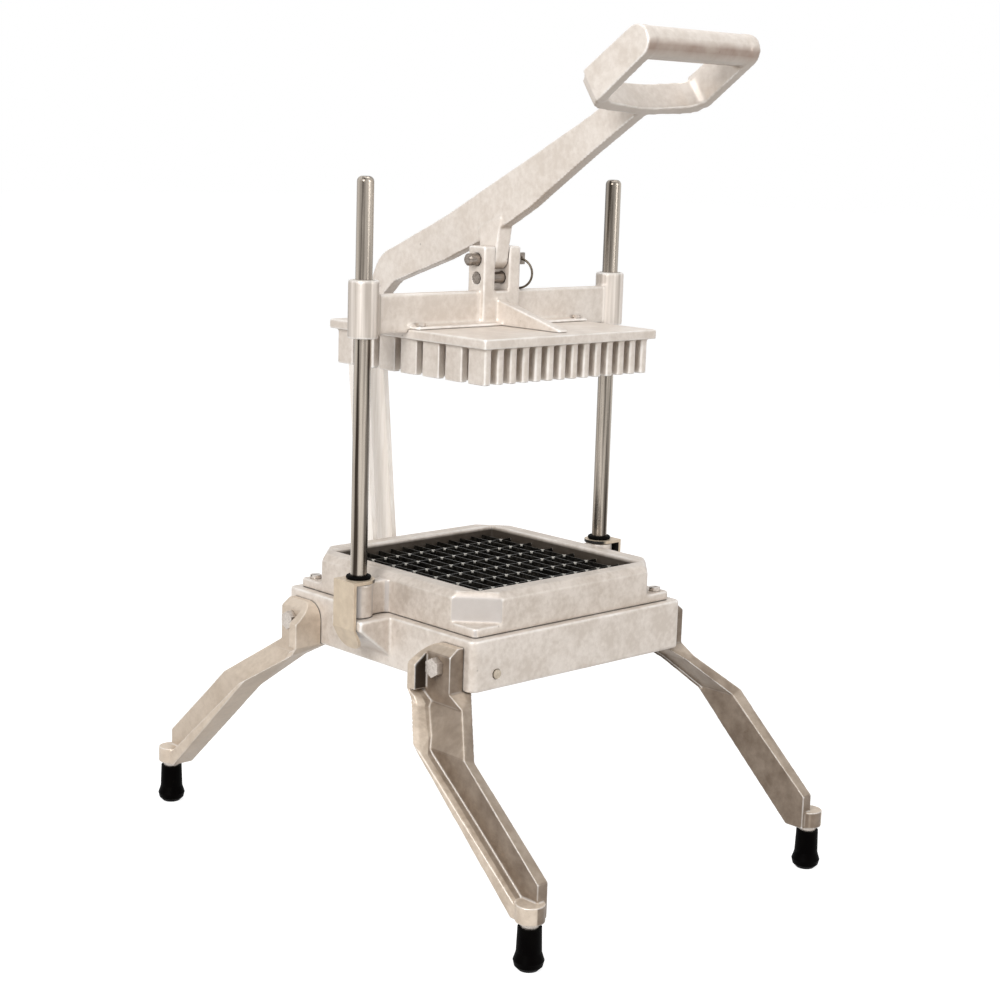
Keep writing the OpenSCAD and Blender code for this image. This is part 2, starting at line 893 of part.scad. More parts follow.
module guide_rod(s) {
    color("LightSteelBlue")
    translate([s * rod_x, 0, 0])
        rotate_extrude() {
            translate([0, z_base1 - rod_sink + loose])
                square([rod_d / 2, rod_top - rod_round - z_base1 + rod_sink - loose]);
            translate([0, rod_top - rod_round - eps])
                square([rod_d / 2 - rod_round, rod_round + eps]);
            intersection() {
                translate([rod_d / 2 - rod_round, rod_top - rod_round])
                    circle(rod_round);
                translate([0, rod_top - rod_round])
                    square([rod_d, rod_round]);
            }
        }
}

module left_guide_rod() {
    guide_rod(-1);
}

module right_guide_rod() {
    guide_rod(1);
}

module bumper(s) {
    color("Black")
    translate([s * rod_x, 0, z_clip1 + bumper_h / 2])
        rotate_extrude()
            translate([ring_mid_r, 0])
                circle(d = bumper_h);
}

module left_bumper() {
    bumper(-1);
}

module right_bumper() {
    bumper(1);
}

module clip_bend() {
    polygon([
        [clip_w / 2 - rod_x, z_boss1],
        [-clip_x, z_boss1],
        [-clip_x, clip_bend_z],
        [clip_tail_x, clip_tail_z],
        [clip_tail_x - clip_t, clip_tail_z],
        [-clip_x - clip_t, clip_bend_z],
        [-clip_x - clip_t, z_clip1],
        [clip_w / 2 - rod_x, z_clip1]
    ]);
}

// Outline of the clip seen from the side, with a round tail.
module clip_side() {
    translate([-clip_w / 2, clip_tail_z + tail_round])
        square([clip_w, z_clip1 - clip_tail_z - tail_round]);
    translate([-clip_w / 2 + tail_round, clip_tail_z])
        square([clip_w - 2 * tail_round, tail_round]);
    for (s = [-1, 1])
        translate([s * (clip_w / 2 - tail_round), clip_tail_z + tail_round])
            circle(tail_round);
}

// Outline of the clip seen from above, round about the rod.
module clip_plan() {
    translate([-rod_x, 0])
        circle(d = clip_w);
    translate([-clip_x - clip_t, -clip_w / 2])
        square([clip_x + clip_t - rod_x, clip_w]);
}

module frame_clip(s) {
    color("Tan")
    side(s)
        difference() {
            intersection() {
                along_y(-clip_w / 2 - past, clip_w / 2 + past)
                    clip_bend();
                along_x(-clip_x - clip_t - past, -base_w / 2)
                    clip_side();
                translate([0, 0, clip_tail_z - past])
                    linear_extrude(z_clip1 - clip_tail_z + 2 * past)
                        clip_plan();
            }
            translate([-rod_x, 0, z_boss1 - past])
                cylinder(d = rod_d + 2 * loose, h = clip_t + 2 * past);
        }
}

module left_frame_clip() {
    frame_clip(-1);
}

module right_frame_clip() {
    frame_clip(1);
}

// Pusher

module rib_shape(t) {
    polygon([
        [0, z_plate1],
        [t * rib_reach, z_plate1],
        [t * rib_reach, z_plate1 + rib_low],
        [t * ear_d / 2, z_plate1 + rib_high],
        [0, z_plate1 + rib_high]
    ]);
}

module pusher_head() {
    color("Gainsboro")
    difference() {
        union() {
            for (s = [-1, 1])
                translate([s * rod_x, 0, z_slide0])
                    cylinder(d = slide_boss_d, h = slide_boss_h);
            translate([-rod_x, -bar_t / 2, z_plate1])
                cube([rod_span, bar_t, bar_h]);
            // beside the plate the bar reaches lower
            for (s = [-1, 1])
                side(s)
                    translate([-rod_x, -bar_t / 2, z_plate1 - bar_drop])
                        cube([rod_x - plate_w / 2 - slack, bar_t, bar_h]);
            translate([-shoe_w / 2, -shoe_d / 2, z_plate1])
                cube([shoe_w, shoe_d, shoe_t]);
            translate([-ear_out, -ear_d / 2, z_plate1])
                cube([2 * ear_out, ear_d, z_ear1 - z_plate1]);
            for (t = [-1, 1])
                along_x(-rib_t / 2, rib_t / 2)
                    rib_shape(t);
        }
        // slot between the ears
        translate([-ear_gap / 2, -ear_d, z_bar1])
            cube([ear_gap, 2 * ear_d, z_ear1]);
        for (s = [-1, 1])
            translate([s * rod_x, 0, z_slide0 - past])
                cylinder(d = bush_d + 2 * bush_fit, h = slide_boss_h + 2 * past);
        translate([0, 0, z_pivot])
            rod_x_axis(-ear_out - past, ear_out + past, pin_d + 2 * run_fit);
        translate([0, 0, z_pivot - cross_pin_drop])
            rod_x_axis(-ear_out - past, ear_out + past, cross_pin_d + 2 * bush_fit);
        for (s = [-1, 1], t = [-1, 1])
            translate([s * block_screw_x, t * block_screw_y, z_plate1 - past])
                cylinder(d = block_screw_d + 2 * loose, h = shoe_t + 2 * past);
    }
}

module bush(s) {
    color("Goldenrod")
    translate([s * rod_x, 0, z_slide0])
        difference() {
            cylinder(d = bush_d, h = slide_boss_h);
            translate([0, 0, -past])
                cylinder(d = rod_d + 2 * run_fit, h = slide_boss_h + 2 * past);
        }
}

module left_bush() {
    bush(-1);
}

module right_bush() {
    bush(1);
}

module pusher_block() {
    slot_x = pitch_x - finger_w;
    slot_y = pitch_y - finger_d;
    color("Gainsboro")
    difference() {
        union() {
            translate([-plate_w / 2, -plate_d / 2, z_plate0])
                cube([plate_w, plate_d, plate_t]);
            translate([-field_w / 2, -field_d / 2, z_finger0])
                cube([field_w, field_d, finger_h + eps]);
        }
        for (i = [1 : columns - 1])
            translate([(i - columns / 2) * pitch_x - slot_x / 2, -plate_d, z_finger0 - past])
                cube([slot_x, 2 * plate_d, finger_h + past]);
        for (i = [1 : rows - 1])
            translate([-plate_w, (i - rows / 2) * pitch_y - slot_y / 2, z_finger0 - past])
                cube([2 * plate_w, slot_y, finger_h + past]);
        for (s = [-1, 1], t = [-1, 1])
            translate([s * block_screw_x, t * block_screw_y, z_plate0 + block_skin])
                cylinder(d = block_screw_d + 2 * bush_fit, h = plate_t);
    }
}

module block_screws() {
    color("Gray")
    for (s = [-1, 1], t = [-1, 1])
        translate([s * block_screw_x, t * block_screw_y, 0]) {
            translate([0, 0, z_plate0 + block_skin + block_screw_gap])
                cylinder(d = block_screw_d, h = plate_t + shoe_t - block_skin - block_screw_gap + eps);
            translate([0, 0, z_plate1 + shoe_t])
                cylinder(d = block_head_d, h = block_head_h);
        }
}

module cross_pin() {
    color("Silver")
    translate([0, 0, z_pivot - cross_pin_drop])
        rod_x_axis(-ear_out, ear_out, cross_pin_d);
}

// Release pin and its ring

module release_pin() {
    color("Silver")
    translate([0, 0, z_pivot])
        difference() {
            union() {
                rod_x_axis(-pin_left, pin_head_x0 + eps, pin_d);
                translate([-pin_left - pin_nose, 0, 0])
                    rotate([0, 90, 0])
                        cylinder(d1 = pin_d - 2 * pin_nose, d2 = pin_d, h = pin_nose + eps);
                rod_x_axis(pin_head_x0, pin_head_x0 + pin_head_t, pin_head_d);
                // flat eye for the ring
                intersection() {
                    rod_x_axis(pin_head_x0, pin_eye_x1, pin_d);
                    translate([0, -eye_t / 2, -pin_d])
                        cube([2 * pin_eye_x1, eye_t, 2 * pin_d]);
                }
            }
            translate([ring_x, 0, 0])
                rod_y_axis(-pin_head_d, pin_head_d, ring_hole_d);
            // pocket of the detent ball
            translate([-pin_left + ball_in, 0, -pin_d / 2 - past])
                cylinder(d = ball_d + 2 * bush_fit, h = ball_d + past);
        }
}

module detent_ball() {
    color("Silver")
    translate([-pin_left + ball_in, 0, z_pivot - pin_d / 2 + ball_d / 2])
        sphere(d = ball_d);
}

module pin_ring() {
    color("Silver")
    translate([ring_x, 0, z_pivot - ring_r])
        rotate([0, 0, ring_turn])
            rotate([90, 0, 0])
                rotate_extrude()
                    translate([ring_r, 0])
                        circle(d = wire_d);
}

// Lever, drawn with the pivot at the origin: x forward, y up

module arm_outline() {
    neck = [grip_out - bow_back * cos(grip_slope), grip_rise - bow_back * sin(grip_slope)];
    elbow = [-elbow_back, -elbow_drop];
    tail = [-tail_back, -tail_drop];
    elbow_in = elbow_r - slack;
    tail_in = tail_r - past;
    polygon(concat(
        [tail + tail_in * [cos(tail_lean), -sin(tail_lean)]],
        arm_under,
        [neck + [bow_t - past, -bow_t], neck + [-bow_t / 2, bow_h / 2 - 2 * past]],
        arm_upper,
        [
            elbow + elbow_in * [-sin(elbow_rise), cos(elbow_rise)],
            elbow + elbow_in * [-cos(tail_lean), sin(tail_lean)],
            tail + tail_in * [-cos(tail_lean), sin(tail_lean)]
        ]
    ));
    // round outer side of the elbow
    translate(elbow)
        rotate(45 + (elbow_rise - tail_lean) / 2)
            intersection() {
                circle(elbow_r);
                translate([-elbow_r, elbow_r - elbow_cap])
                    square(2 * elbow_r);
            }
}

module lug_outline() {
    circle(lug_r);
    polygon([
        [-lug_r, 0],
        [lug_r, 0],
        [lug_r, 0] + lug_root_front,
        [-lug_r, 0] + lug_root_rear
    ]);
}

// Back of the handle in its own plane: x across, y from the grip towards the lever.
module bow_outline(inset) {
    w = handle_w / 2 - inset;
    polygon([
        [-w, bow_len - 2 * bow_corner],
        [-w, bow_len - inset - bow_corner / 2],
        [-w + bow_corner / 3, bow_len - inset + bow_corner / 6],
        [-w + bow_corner, bow_len - inset + bow_corner / 2],
        [-neck_w / 2, bow_back - inset],
        [neck_w / 2, bow_back - inset],
        [w - bow_corner, bow_len - inset + bow_corner / 2],
        [w - bow_corner / 3, bow_len - inset + bow_corner / 6],
        [w, bow_len - inset - bow_corner / 2],
        [w, bow_len - 2 * bow_corner]
    ]);
}

// Side arm of the handle in (Y, Z), round about the grip.
module bow_arm_outline() {
    arm_l = bow_len - bow_corner / 2;
    end_r = grip_d / 2 + grip_step;
    circle(end_r);
    rotate(-grip_slope)
        polygon([
            [0, -end_r + eps],
            [arm_l, -bow_h / 2],
            [arm_l, bow_h / 2],
            [0, end_r - eps]
        ]);
}

// Turns lever drawings into their place: x forward becomes -Y, y up becomes +Z.
module lever_plane(t) {
    translate([t / 2, 0, z_pivot])
        rotate([90, 0, -90])
            linear_extrude(t)
                children();
}

module lever() {
    color("Gainsboro")
    difference() {
        union() {
            lever_plane(arm_t)
                arm_outline();
            lever_plane(lug_t)
                lug_outline();
            lever_plane(tail_t)
                translate([-tail_back, -tail_drop])
                    circle(tail_r);
            translate([0, -grip_out, z_pivot + grip_rise]) {
                rod_x_axis(-handle_w / 2 + bow_t / 2, handle_w / 2 - bow_t / 2, grip_d);
                for (s = [-1, 1])
                    side(s)
                        along_x(-handle_w / 2, -handle_w / 2 + bow_t)
                            bow_arm_outline();
                rotate([-grip_slope, 0, 0])
                    translate([0, 0, -bow_h / 2 + 2 * bow_tuck])
                        linear_extrude(bow_h - back_low)
                            difference() {
                                bow_outline(bow_tuck);
                                bow_outline(bow_t - bow_tuck);
                            }
            }
        }
        translate([0, 0, z_pivot])
            rod_x_axis(-lug_t, lug_t, pin_d + 2 * run_fit);
        translate([0, tail_back, z_pivot - tail_drop])
            rod_x_axis(-tail_t, tail_t, link_pin_d + 2 * run_fit);
    }
}

// Link

module link_bar(s) {
    color("LightGray")
    side(s)
        translate([0, link_y, link_z])
            rotate([-link_lean, 0, 0])
                along_x(-link_out, -link_in)
                    difference() {
                        union() {
                            translate([-link_w / 2, 0])
                                square([link_w, link_len]);
                            circle(d = link_w);
                            translate([0, link_len])
                                circle(d = link_w);
                        }
                        circle(d = link_pin_d + 2 * run_fit);
                        translate([0, link_len])
                            circle(d = link_pin_d + 2 * bush_fit);
                    }
}

module left_link_bar() {
    link_bar(-1);
}

module right_link_bar() {
    link_bar(1);
}

module link_top_bolts() {
    color("Silver")
    for (s = [-1, 1])
        side(s)
            translate([0, link_top_y, link_top_z]) {
                rod_x_axis(-link_out - eps, -link_in, link_pin_d);
                rod_x_axis(-link_out - top_head_h, -link_out, top_head_d);
            }
}

module link_bottom_pin() {
    color("Silver")
    translate([0, link_y, link_z])
        difference() {
            rod_x_axis(-link_pin_half, link_pin_half, link_pin_d);
            for (s = [-1, 1])
                side(s)
                    difference() {
                        rod_x_axis(-ring_clip_x1, -clip_face, link_pin_d + past);
                        rod_x_axis(-link_pin_half, link_pin_half, groove_d);
                    }
        }
}

module pin_retainers() {
    color("DimGray")
    translate([0, link_y, link_z])
        for (s = [-1, 1])
            side(s)
                difference() {
                    rod_x_axis(ring_clip_gap - ring_clip_x1, -clip_face - ring_clip_gap, ring_clip_d);
                    rod_x_axis(-link_pin_half, link_pin_half, groove_d + 2 * bush_fit);
                    translate([-link_pin_half, -ring_clip_mouth / 2, 0])
                        cube([link_pin_half, ring_clip_mouth, ring_clip_d]);
                }
}

base_frame();
front_plug();
blade_frame();
frame_screws();
leg_front_left();
leg_front_right();
leg_rear_left();
leg_rear_right();
leg_bolts();
leg_nuts();
foot_studs();
foot_front_left();
foot_front_right();
foot_rear_left();
foot_rear_right();
long_blades();
cross_blades();
blade_rods();
left_guide_rod();
right_guide_rod();
left_bumper();
right_bumper();
left_frame_clip();
right_frame_clip();
pusher_head();
left_bush();
right_bush();
pusher_block();
block_screws();
cross_pin();
release_pin();
detent_ball();
pin_ring();
lever();
left_link_bar();
right_link_bar();
link_top_bolts();
link_bottom_pin();
pin_retainers();
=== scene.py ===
"""Looks of the lettuce cutter: finishes, rounded castings, light and camera."""

import json
import math

import bmesh
import bpy
from mathutils import Matrix, Vector


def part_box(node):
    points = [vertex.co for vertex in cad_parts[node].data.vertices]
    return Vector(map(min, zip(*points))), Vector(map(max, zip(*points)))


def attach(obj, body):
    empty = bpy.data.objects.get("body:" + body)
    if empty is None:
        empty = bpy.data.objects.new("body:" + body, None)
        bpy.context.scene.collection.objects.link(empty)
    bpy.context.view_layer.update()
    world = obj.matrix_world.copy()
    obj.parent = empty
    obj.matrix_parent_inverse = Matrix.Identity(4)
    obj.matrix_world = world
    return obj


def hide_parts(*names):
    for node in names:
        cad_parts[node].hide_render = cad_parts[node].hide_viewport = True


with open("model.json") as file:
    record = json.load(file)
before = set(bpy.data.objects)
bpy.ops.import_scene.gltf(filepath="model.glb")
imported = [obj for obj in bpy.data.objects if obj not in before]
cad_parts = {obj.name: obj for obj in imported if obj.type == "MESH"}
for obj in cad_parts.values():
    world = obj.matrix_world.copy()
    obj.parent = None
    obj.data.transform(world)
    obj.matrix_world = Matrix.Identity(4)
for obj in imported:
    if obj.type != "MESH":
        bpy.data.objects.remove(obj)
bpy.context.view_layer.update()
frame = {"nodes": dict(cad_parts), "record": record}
nodes = frame["nodes"]
bodies = frame["record"]["behaviour"]["bodies"]
body_of_node = {name: body for body, names in bodies.items() for name in names}

# Camera, in metres and degrees, with its sensor in millimetres and its focal length in pixels
CAMERA_AT = Vector((-1.0157, -1.0907, 0.5531))
CAMERA_TURN = -43.346
CAMERA_DROP = 10.499
CAMERA_ROLL = 1.806
SENSOR = 36.0
FOCAL_PX = 1909.05
IMAGE_PX = 1000
CLIP_END = 100

# Lamps: place and aim in metres, width in metres, power in watts
LAMPS = {
    "key": ((-2.0, -0.75, 1.4), (0, 0, 0.35), 1.0, 38),
    "fill": ((0.6, -2.2, 1.0), (0, 0, 0.35), 1.2, 12.5),
    "top": ((0.3, 0.2, 2.4), (0, 0, 0.3), 1.6, 14),
}

# Sky and floor: light on the object, and the floor's own glow, shade and bounce
WHITE = (1, 1, 1, 1)
SKY_LIGHT = 0.40
FLOOR_SIZE = 30
FLOOR_GLOW = 0.82
FLOOR_SHADE = (0.46, 0.46, 0.46, 1)
FLOOR_BOUNCE = (0.5, 0.48, 0.46, 1)

# Rounding of the castings: grid that a shape is rebuilt on, in metres, and smoothing passes
CAST_GRID = 0.0011
CAST_PASSES = 5
FINE_GRID = 0.0009
FINE_PASSES = 3
LEG_GRID = 0.0006
LEG_PASSES = 12

# Blade grid, in metres: spacings, how far the blade ends go into the frame, and the wall
# without slots at each corner
PITCH_X = 0.0127
PITCH_Y = 0.0254
SLOT_IN = 0.0075
SLOT_END = 0.006

# Surface detail, in metres: thickness of a mask's edge, reach of the painted shade in crevices,
# and depth of grain
SKIN = 0.001
CAST_SHADE_REACH = 0.0022
STEEL_SHADE_REACH = 0.0015
CAST_GRAIN = 0.0004
FINE_GRAIN = 0.0002

# Half the width of the painted highlight where two blades cross, in metres: full, and gone
SPOT_FULL = 0.0012
SPOT_GONE = 0.002

# Pointiness of an edge where wear and painted highlight begin and where they are full, and of
# an inner corner where the painted highlight is full and where it ends
EDGE_STARTS = 0.515
EDGE_BRIGHT = 0.56
FILLET_BRIGHT = 0.455
FILLET_ENDS = 0.49

# Places on the castings, in metres: bosses, grip, and the knee, bend and pad of a leg
BOSS_FROM = 0.117
GRIP_TO = -0.178
KNEE_Z = 0.1255
KNEE_EDGE = 0.1555
BEND_Z = 0.152
BEND_EDGE = 0.132
PAD_Z = 0.162
STEP_X = 0.1265

frame_low, frame_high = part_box("blade_frame")
long_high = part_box("long_blades")[1]
OPENING_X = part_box("cross_blades")[1].x - SLOT_IN
OPENING_Y = long_high.y - SLOT_IN
BLADE_TOP = long_high.z


# Node helpers

def new_material(name):
    """A material with only an output and a principled shader, its tree and the shader."""
    mat = bpy.data.materials.new(name)
    mat.use_nodes = True
    tree = mat.node_tree
    tree.nodes.clear()
    out = tree.nodes.new("ShaderNodeOutputMaterial")
    shader = tree.nodes.new("ShaderNodeBsdfPrincipled")
    tree.links.new(shader.outputs["BSDF"], out.inputs["Surface"])
    return mat, tree, shader


def add(tree, kind, inputs=None, **settings):
    """A node with its settings, and with its inputs set to values or linked to sockets."""
    node = tree.nodes.new(kind)
    for key, value in settings.items():
        setattr(node, key, value)
    for key, value in (inputs or {}).items():
        if isinstance(value, bpy.types.NodeSocket):
            tree.links.new(value, node.inputs[key])
        else:
            node.inputs[key].default_value = value
    return node


def place(tree, stretch=(1, 1, 1)):
    """Coordinates fixed to the object, in metres, stretched along the axes."""
    coords = add(tree, "ShaderNodeTexCoord").outputs["Object"]
    return add(tree, "ShaderNodeMapping", {"Vector": coords, "Scale": stretch}).outputs["Vector"]


def parts(tree, vector):
    """X, Y and Z parts of a vector."""
    return add(tree, "ShaderNodeSeparateXYZ", {0: vector}).outputs


def facing(tree):
    """X, Y and Z parts of the surface direction, fixed to the object."""
    return parts(tree, add(tree, "ShaderNodeTexCoord").outputs["Normal"])


def pointiness(tree):
    """Over a half on edges, under a half in corners."""
    return add(tree, "ShaderNodeNewGeometry").outputs["Pointiness"]


def noise(tree, where, scale, detail=4.0, rough=0.55):
    settings = {"Vector": where, "Scale": scale, "Detail": detail, "Roughness": rough}
    return add(tree, "ShaderNodeTexNoise", settings).outputs["Fac"]


def span(tree, value, low, high, to_low=0.0, to_high=1.0):
    """The value, taken from low..high to to_low..to_high and held there."""
    limits = {
        "Value": value, "From Min": low, "From Max": high, "To Min": to_low, "To Max": to_high,
    }
    return add(tree, "ShaderNodeMapRange", limits).outputs["Result"]


def math_node(tree, operation, a, b):
    return add(tree, "ShaderNodeMath", {0: a, 1: b}, operation=operation).outputs[0]


def size_of(tree, value):
    return add(tree, "ShaderNodeMath", {0: value}, operation="ABSOLUTE").outputs[0]


def mix(tree, share, a, b):
    node = add(tree, "ShaderNodeMix", data_type="RGBA")
    for socket, value in ((node.inputs[0], share), (node.inputs[6], a), (node.inputs[7], b)):
        if isinstance(value, bpy.types.NodeSocket):
            tree.links.new(value, socket)
        else:
            socket.default_value = value
    return node.outputs[2]


def bump(tree, shader, height, strength, distance):
    settings = {"Height": height, "Strength": strength, "Distance": distance}
    node = add(tree, "ShaderNodeBump", settings)
    tree.links.new(node.outputs["Normal"], shader.inputs["Normal"])


def rgb(r, g, b):
    """A colour written as 0 to 255, as the shader wants it."""
    def linear(c):
        c /= 255
        return c / 12.92 if c <= 0.04045 else ((c + 0.055) / 1.055) ** 2.4
    return (linear(r), linear(g), linear(b), 1.0)


# Materials

# Colours of wear and pores, of milled faces, and of painted shade, highlight and reflection
# painted shade on undersides
UNDERSIDE_SHADE = rgb(120, 104, 88)
# painted dark reflection on the grip
DARK_REFLECTION = rgb(136, 110, 94)
# painted shade on the clips' inner side
INNER_SHADE = rgb(16, 13, 10)
# painted shade: crevices, the walls of the opening and the step beside a leg's bolt
PAINTED_SHADE = rgb(58, 48, 38)
PORE = rgb(104, 94, 86)
# wear and painted highlight on edges and inner corners
WORN_AND_HIGHLIGHT = rgb(252, 250, 247)
MILLED = rgb(188, 182, 178)


def paint_crevice_shade(tree, colour, reach, amount):
    """Painted shade in crevices and along seams, from occlusion within the reach."""
    occlusion = add(tree, "ShaderNodeAmbientOcclusion", {"Distance": reach}, samples=8)
    return mix(tree, span(tree, occlusion.outputs["AO"], 0.25, 0.75, amount, 0.0), colour, PAINTED_SHADE)


def wear_and_highlight_edges(tree, colour, where, amount):
    """Edges worn and painted with a highlight, more in some places than in others."""
    edge = span(tree, pointiness(tree), EDGE_STARTS, EDGE_BRIGHT)
    uneven = span(tree, noise(tree, where, 60, 3), 0.35, 0.6, 0.35 * amount, amount)
    return mix(tree, math_node(tree, "MULTIPLY", edge, uneven), colour, WORN_AND_HIGHLIGHT)


def cast_metal(name, light, dark, rough=0.42, grain=0.25, under=0.3, crevice_shade=0.75, marks=None):
    """Sand-cast aluminium: soft mottling, grain, a few pores, painted shade on undersides, edges
    worn and painted bright, painted shade in crevices.
    """
    mat, tree, shader = new_material(name)
    where = place(tree)
    broad = noise(tree, where, 38, 3)
    mottle = noise(tree, where, 210, 4, 0.6)
    fine = noise(tree, where, 900, 3, 0.6)
    both = math_node(tree, "ADD", broad, mottle)
    colour = mix(tree, span(tree, both, 0.8, 1.2), dark, light)
    colour = mix(tree, span(tree, fine, 0.55, 0.8, 0.0, 0.3), colour, dark)
    cells = add(tree, "ShaderNodeTexVoronoi", {"Vector": where, "Scale": 75.0}).outputs["Distance"]
    some = span(tree, noise(tree, where, 26, 2), 0.58, 0.62)
    pit = math_node(tree, "MULTIPLY", span(tree, cells, 0.03, 0.08, 1, 0), some)
    colour = mix(tree, span(tree, pit, 0, 1, 0, 0.5), colour, PORE)
    # painted shade on faces that point down
    down = span(tree, facing(tree)["Z"], -0.85, -0.1, under, 0.0)
    colour = mix(tree, down, colour, UNDERSIDE_SHADE)
    if marks:
        colour = marks(tree, colour, where)
    colour = wear_and_highlight_edges(tree, colour, where, 0.9)
    colour = paint_crevice_shade(tree, colour, CAST_SHADE_REACH, crevice_shade)
    tree.links.new(colour, shader.inputs["Base Color"])
    dull = span(tree, mottle, 0.3, 0.7, rough - 0.08, rough + 0.1)
    tree.links.new(dull, shader.inputs["Roughness"])
    shader.inputs["Metallic"].default_value = 0.3
    height = math_node(tree, "SUBTRACT", math_node(tree, "ADD", fine, mottle), pit)
    bump(tree, shader, height, grain, CAST_GRAIN)
    return mat


def well_shade(tree, colour, where):
    """Painted shade on the walls of the cutting opening, below the rim."""
    x, y, z = parts(tree, where)
    in_x = span(tree, size_of(tree, x), OPENING_X, OPENING_X + SKIN, 1, 0)
    in_y = span(tree, size_of(tree, y), OPENING_Y, OPENING_Y + SKIN, 1, 0)
    low = span(tree, z, frame_high.z - 4 * SKIN, frame_high.z - 2 * SKIN, 0.95, 0.0)
    inside = math_node(tree, "MULTIPLY", math_node(tree, "MULTIPLY", in_x, in_y), low)
    return mix(tree, inside, colour, PAINTED_SHADE)


def frame_marks(tree, colour, where):
    """Corners milled flat, greyer than the cast walls, and painted shade on the walls of the
    opening.
    """
    face = facing(tree)
    slant = size_of(tree, math_node(tree, "MULTIPLY", face["X"], face["Y"]))
    colour = mix(tree, span(tree, slant, 0.36, 0.46, 0.0, 0.8), colour, MILLED)
    return well_shade(tree, colour, where)


def pusher_marks(tree, colour, where):
    """The bosses on the guide rods, polished up and down, with their streaks darkened as painted
    reflection.
    """
    out = size_of(tree, parts(tree, where)["X"])
    boss = span(tree, out, BOSS_FROM, BOSS_FROM + SKIN)
    streaks = span(tree, noise(tree, place(tree, (1, 1, 0.02)), 180, 3), 0.38, 0.62)
    return mix(tree, boss, colour, mix(tree, streaks, BOSS_REFLECTION_DARK, PALE))


def grip_reflection(tree, colour, where):
    """A painted dark reflection on the front of the grip, along its lower faces."""
    face = facing(tree)
    ahead = span(tree, parts(tree, where)["Y"], GRIP_TO - SKIN, GRIP_TO, 1, 0)
    off_ends = span(tree, size_of(tree, face["X"]), 0.35, 0.7, 1, 0)
    above = span(tree, face["Z"], -0.8, -0.4)
    below = span(tree, face["Z"], -0.1, 0.35, 1, 0)
    band = math_node(tree, "MULTIPLY", above, below)
    patchy = span(tree, noise(tree, where, 45, 3), 0.3, 0.7, 0.5, 0.85)
    grip = math_node(tree, "MULTIPLY", ahead, off_ends)
    share = math_node(tree, "MULTIPLY", math_node(tree, "MULTIPLY", grip, band), patchy)
    return mix(tree, share, colour, DARK_REFLECTION)


def leg_marks(inner, amount):
    """Leg faces that are dark, partly as cast and partly as painted shade: the plate, and the side
    of the flange that faces inner.

    inner is -1 or 1 along Y, and amount is how dark these faces are.
    """
    def marks(tree, colour, where):
        face = facing(tree)
        at = parts(tree, where)
        out = size_of(tree, at["X"])
        flange_end = span(tree, at["Z"], KNEE_Z, BEND_Z, KNEE_EDGE, BEND_EDGE)
        inside = span(tree, math_node(tree, "SUBTRACT", flange_end, out), 0.0, SKIN)
        plate = span(tree, size_of(tree, face["X"]), 0.45, 0.8)
        flange = span(tree, math_node(tree, "MULTIPLY", face["Y"], inner), 0.35, 0.8)
        either = math_node(tree, "MAXIMUM", plate, flange)
        dark_faces = math_node(tree, "MULTIPLY", either, inside)
        patchy = span(tree, noise(tree, where, 90, 4), 0.3, 0.7, 0.75 * amount, amount)
        colour = mix(tree, math_node(tree, "MULTIPLY", dark_faces, patchy), colour, AS_CAST_AND_SHADE)
        # painted shade in the step beside the bolt
        high = span(tree, at["Z"], PAD_Z, PAD_Z + SKIN, 0.0, amount)
        beside = math_node(tree, "MULTIPLY", high, span(tree, out, STEP_X, STEP_X + SKIN))
        colour = mix(tree, math_node(tree, "MULTIPLY", flange, beside), colour, PAINTED_SHADE)
        # painted highlight in inner corners
        fillet = span(tree, pointiness(tree), FILLET_BRIGHT, FILLET_ENDS, 0.6, 0.0)
        return mix(tree, fillet, colour, WORN_AND_HIGHLIGHT)
    return marks


def drawn_steel(name, light, dark, rough, stretch, scale, metallic=1.0, contrast=0.15):
    """Bright steel with fine lines along the way it was drawn or ground, and painted shade in
    crevices.
    """
    mat, tree, shader = new_material(name)
    where = place(tree, stretch)
    lines = noise(tree, where, scale, 4, 0.6)
    cloud = noise(tree, place(tree), 60, 3)
    colour = mix(tree, span(tree, lines, 0.5 - contrast, 0.5 + contrast), dark, light)
    colour = paint_crevice_shade(tree, colour, STEEL_SHADE_REACH, 0.7)
    tree.links.new(colour, shader.inputs["Base Color"])
    both = math_node(tree, "ADD", lines, cloud)
    dull = span(tree, both, 0.7, 1.3, rough - 0.06, rough + 0.08)
    tree.links.new(dull, shader.inputs["Roughness"])
    shader.inputs["Metallic"].default_value = metallic
    bump(tree, shader, lines, 0.1, FINE_GRAIN)
    return mat


def clip_sheet(name):
    """Tan sheet, with painted shade, near black, on the side that faces the castings."""
    mat, tree, shader = new_material(name)
    where = place(tree)
    cloud = noise(tree, where, 130, 4)
    colour = mix(tree, span(tree, cloud, 0.35, 0.65), rgb(194, 177, 155), rgb(210, 194, 172))
    inward = math_node(tree, "MULTIPLY", facing(tree)["X"], parts(tree, where)["X"])
    colour = mix(tree, span(tree, inward, -0.06, -0.03), INNER_SHADE, colour)
    tree.links.new(colour, shader.inputs["Base Color"])
    tree.links.new(span(tree, cloud, 0.3, 0.7, 0.4, 0.55), shader.inputs["Roughness"])
    shader.inputs["Metallic"].default_value = 0.35
    bump(tree, shader, noise(tree, where, 700, 3), 0.08, FINE_GRAIN)
    return mat


